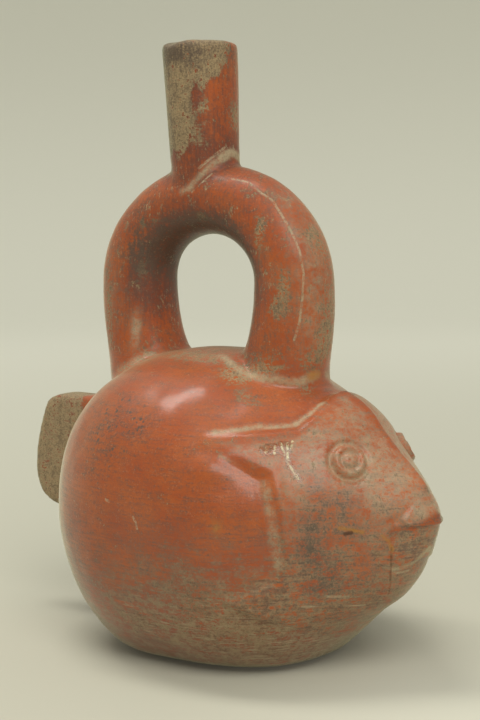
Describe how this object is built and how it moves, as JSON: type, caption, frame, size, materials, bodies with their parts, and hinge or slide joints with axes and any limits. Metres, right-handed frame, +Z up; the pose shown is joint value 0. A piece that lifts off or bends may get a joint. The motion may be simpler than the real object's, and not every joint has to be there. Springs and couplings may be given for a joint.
{
  "type": "stirrup spout vessel",
  "caption": "Hollow fired-clay bottle: round fish-like body with snout, ring eyes and slab tail, a hollow stirrup tube on top and a single open spout on its crown.",
  "frame": {"origin": "on the flat base, under the widest section of the body", "axes": "+Z up through the spout, +X from the tail to the snout, +Y to the vessel's left"},
  "size_m": [0.1644, 0.1026, 0.1951],
  "materials": {
    "slipped_clay": "burnished red-orange slip, worn to buff clay"
  },
  "bodies": {
    "root": {"vessel": "slipped_clay"}
  },
  "joints": []
}
